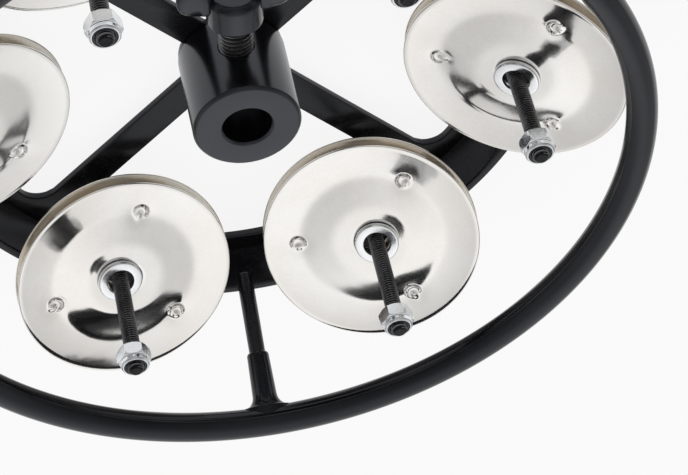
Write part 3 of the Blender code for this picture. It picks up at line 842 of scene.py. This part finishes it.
def wing_plate(side, steps=72, layers=13):
    """Wing as shrinking outlines: for t from -1 to 1 through its thickness, the outline is drawn in towards
    its middle line by the root of 1 - 0.97 t^4."""
    s = TURN * np.arange(steps) / steps
    t = np.sin(np.linspace(-np.pi / 2, np.pi / 2, layers))[:, None]
    flare = 0.5 + 0.5 * np.cos(s)
    sweep = np.sin(np.pi / 2 * np.clip(flare / SWEPT, 0.0, 1.0))
    rise = (WING_RISE + WING_FLARE * sweep) * np.sign(np.sin(s)) * np.abs(np.sin(s)) ** FULLNESS
    keep = (1 - np.abs(t) ** 4 * FACE_SHARE) ** 0.5
    x = WING_MID + WING_HALF * np.cos(s) * keep
    y = WING_LEVEL + WING_SWEEP * sweep + rise * keep
    z = WING_T * t * (ROOT_T - TIP_LOSS * flare)
    return np.stack((side * x, np.broadcast_to(z, x.shape), y), axis=-1)


collar = turned(rounded(COLLAR, radius=0.6 * MM, closed=False), steps=56)
grids = (collar, wing_plate(-1), wing_plate(1))
shells = [(placed(grid, screw_axes, screw_origin), *BAR) for grid in grids]
make_piece("satin_clamp_wing", shells, HUB_SATIN, "clamp_wing", ["clamp_wing"])
print("clamp screw length", round((SCREW_END - SCREW_TIP) / MM, 1))

# %% [markdown]
# ## The guard ring and its struts
# The guard ring is a smooth round hoop with a short socket moulded on for each strut. The hoop is a circle
# carried round a circle. A socket is a tapered tube along the strut's line whose width grows into the hoop by
# a fillet, mostly along the hoop, because across it the hoop's own roundness already meets the socket.

# %% Guard ring and struts
STRUTS, RING_TUBE = 3, 3.6 * MM
RING_R, RING_Z = ring_high[0] - RING_TUBE, ring_high[2] - RING_TUBE
STRUT_R, STRUT_CAP, STRUT_HEAD, STRUT_FOOT = 2.0 * MM, 0.4 * MM, 8.8 * MM, 4.0 * MM
SOCKET_LEN, SOCKET_R, FILLET, FILLET_AT, CROSS_SHARE = 17.5 * MM, 2.75 * MM, 3.2 * MM, 3.4 * MM, 0.12
TAPER, TAPER_END, TAPER_LEN = 0.3 * MM, 16.0 * MM, 10.0 * MM
MOUTH_LEN, MOUTH_IN, MOUTH_AT = 0.9 * MM, 0.5 * MM, 16.6 * MM
SOCKET_ROWS = ((0.8 * MM, FILLET_AT, 4), (3.5 * MM, FILLET_AT + FILLET, 14), (7.2 * MM, MOUTH_AT, 12))


def socket_grid(head, axes, steps=48):
    """Socket rows at distances s from the hoop's middle: half widths a along the hoop and b across it. The
    fillet is a quarter circle and the mouth's edge a quarter ellipse."""
    round_mouth = SOCKET_LEN - MOUTH_LEN * (1 - np.sin(np.linspace(0.1, np.pi / 2, 6)))
    s = np.concatenate((stretches(SOCKET_ROWS), round_mouth))
    into = np.clip(FILLET_AT + FILLET - s, 0.0, FILLET)
    swell = FILLET - np.sqrt(FILLET ** 2 - into ** 2)
    past = np.clip((s - MOUTH_AT) / MOUTH_LEN, 0.0, 1.0)
    base = SOCKET_R + TAPER * np.clip((TAPER_END - s) / TAPER_LEN, 0.0, 1.0)
    base -= MOUTH_IN * (1 - np.sqrt(1 - past ** 2))
    a, b = (base + swell)[:, None], (base + CROSS_SHARE * swell)[:, None]
    angle = TURN * np.arange(steps) / steps
    local = np.stack((b * np.cos(angle), a * np.sin(angle), s[:, None] + 0 * angle), axis=-1)
    return placed(local, axes, head)


hoop = turned(ring_outline(RING_TUBE, 40, (RING_R, RING_Z)), steps=360)
shells = [(hoop, *SKIN)]
for i in range(STRUTS):
    out, across = heading(TURN * i / STRUTS + TURN / 4)
    head = RING_R * out + np.array([0.0, 0.0, RING_Z])
    rim = (RIM_IN + RIM_OUT) / 2 * out + np.array([0.0, 0.0, PLATE_TOP + WALL_H])
    down = (rim - head) / np.linalg.norm(rim - head)
    axes = np.stack((np.cross(across, down), across, down))
    shells.append((socket_grid(head, axes), *BAR))
    foot = np.linalg.norm(rim - head) + STRUT_FOOT
    rod_corners = [(STRUT_CAP, STRUT_HEAD), (STRUT_R, STRUT_HEAD), (STRUT_R, foot), (STRUT_CAP, foot)]
    rod = turned(rounded(rod_corners, radius=1.2 * MM, steps=8, closed=False), steps=40)
    rod = placed(rod, axes, head)
    node = f"strut_{i + 1}"
    make_piece(f"black_{node}", [(rod, *BAR)], STRUT_PAINT, "frame", [node])
make_piece("black_guard_ring", shells, HOOP_PAINT, "frame", ["outer_ring"])
print("guard ring radius", round(RING_R / MM, 2), "struts", STRUTS)

# %% [markdown]
# ## Studio
# The photograph is a product shot in a bright tent: white all round, with a few darker openings that give the
# metal its contrast. The floor and the world are pale, two soft lamps shape the pieces, and the floor is
# shown to the camera as nearly white so that only a faint shadow stays.

# %% Floor, world and lamps
FLOOR_HALF, FLOOR_DROP, FLOOR_GLOW, TENT_SEEN = 3.0, 0.2 * MM, 0.88, 0.95
LAMP_TARGET = np.array([0.0, 0.0, 0.02])


def pale_floor():
    """A wide plane under the bolt heads, pale to the camera and to reflections."""
    mesh = bpy.data.meshes.new("floor")
    corners = FLOOR_HALF * np.array([(-1, -1, 0), (1, -1, 0), (1, 1, 0), (-1, 1, 0)])
    mesh.from_pydata((corners - np.array([0.0, 0.0, FLOOR_DROP])).tolist(), [], [(0, 1, 2, 3)])
    floor = in_scene("floor", mesh)
    finish = bpy.data.materials.new("pale floor")
    finish.use_nodes = True
    tree = finish.node_tree
    shader = tree.nodes["Principled BSDF"]
    dressed(tree, shader, (0.86, 0.86, 0.86, 1.0), 0.9)
    path = add(tree, "ShaderNodeLightPath").outputs
    glow = add(tree, "ShaderNodeEmission", Color=(1.0, 1.0, 1.0, 1.0), Strength=1.0)
    seen = maths(tree, "MAXIMUM", path["Is Camera Ray"], path["Is Glossy Ray"])
    seen = maths(tree, "MULTIPLY", maths(tree, "MAXIMUM", seen, path["Is Transmission Ray"]), FLOOR_GLOW)
    mix = add(tree, "ShaderNodeMixShader", i0=seen, i1=shader.outputs[0], i2=glow.outputs[0])
    tree.links.new(mix.outputs[0], tree.nodes["Material Output"].inputs["Surface"])
    mesh.materials.append(finish)


def tent_world():
    """World light: a white tent that is brightest overhead and behind the object, greyer at its side walls
    and where the photographer stands; the camera itself sees the tent as nearly white."""
    world = bpy.data.worlds.new("tent")
    bpy.context.scene.world = world
    world.use_nodes = True
    tree = world.node_tree
    way = add(tree, "ShaderNodeTexCoord").outputs["Generated"]
    split = add(tree, "ShaderNodeSeparateXYZ", Vector=way).outputs
    walls = ramp(tree, maths(tree, "ABSOLUTE", split["X"]), start=0.08, stop=0.65, low=1.1, high=0.68)
    height = ramp(tree, split["Z"], start=0.0, stop=0.5, low=0.7, high=1.0)
    front = ramp(tree, split["Y"], start=-0.75, stop=0.3, low=0.42, high=1.0)
    tent = maths(tree, "MULTIPLY", maths(tree, "MULTIPLY", walls, height), front)
    path = add(tree, "ShaderNodeLightPath").outputs
    mirror = maths(tree, "MAXIMUM", path["Is Glossy Ray"], path["Is Transmission Ray"])
    level = maths(tree, "MULTIPLY", tent, spread(tree, mirror, 0.8, 1.0))
    shown = maths(tree, "MAXIMUM", level, maths(tree, "MULTIPLY", path["Is Camera Ray"], TENT_SEEN))
    tint = add(tree, "ShaderNodeCombineColor", Red=shown, Green=shown, Blue=shown)
    back = tree.nodes["Background"]
    put(tree, back, "Color", tint.outputs[0])
    put(tree, back, "Strength", 1.0)


def stand(name, data, right, up, back, place):
    """An object at a place, with its own three axes along the given arrows."""
    holder = in_scene(name, data)
    pose = np.eye(4)
    pose[:3] = np.stack((right, up, back, place), axis=1)
    holder.matrix_world = Matrix(pose.tolist())
    return holder


def soft_lamp(name, place, size, watts):
    """A square soft lamp aimed at the object."""
    lamp = bpy.data.lights.new(name, "AREA")
    lamp.size, lamp.energy = size, watts
    gaze = LAMP_TARGET - place
    gaze /= np.linalg.norm(gaze)
    side = np.cross(gaze, [0.0, 0.0, 1.0])
    side /= np.linalg.norm(side)
    stand(name, lamp, side, np.cross(side, gaze), -gaze, place).visible_glossy = False


pale_floor()
tent_world()
soft_lamp("lamp right", (-0.9, 0.5, 1.0), size=1.0, watts=3.2)
soft_lamp("lamp left", (1.0, 0.3, 0.8), size=0.9, watts=2.6)

# %% [markdown]
# ## Camera
# The view was solved from round outlines in the photograph: the hub's edge, the hoops and the bolt ends. The
# camera stands high on the clamp's side with a long lens, rolled over so that the clamp is at the top.

# %% Camera
CAMERA_AT = (0.0582, -0.4556, PLATE_TOP + 0.4457)
RIGHT, UP, BACK = (-0.9825, -0.0002, 0.1866), (-0.1413, -0.6531, -0.744), (0.1221, -0.7573, 0.6416)
camera = bpy.data.cameras.new("view")
camera.lens, camera.sensor_width, camera.sensor_fit = 144.2, 36.0, "HORIZONTAL"
camera.clip_start, camera.clip_end = 0.01, 20.0
bpy.context.scene.camera = stand("view", camera, RIGHT, UP, BACK, CAMERA_AT)
bpy.context.scene.view_settings.view_transform = "Standard"
print("camera at", np.round(CAMERA_AT, 3))
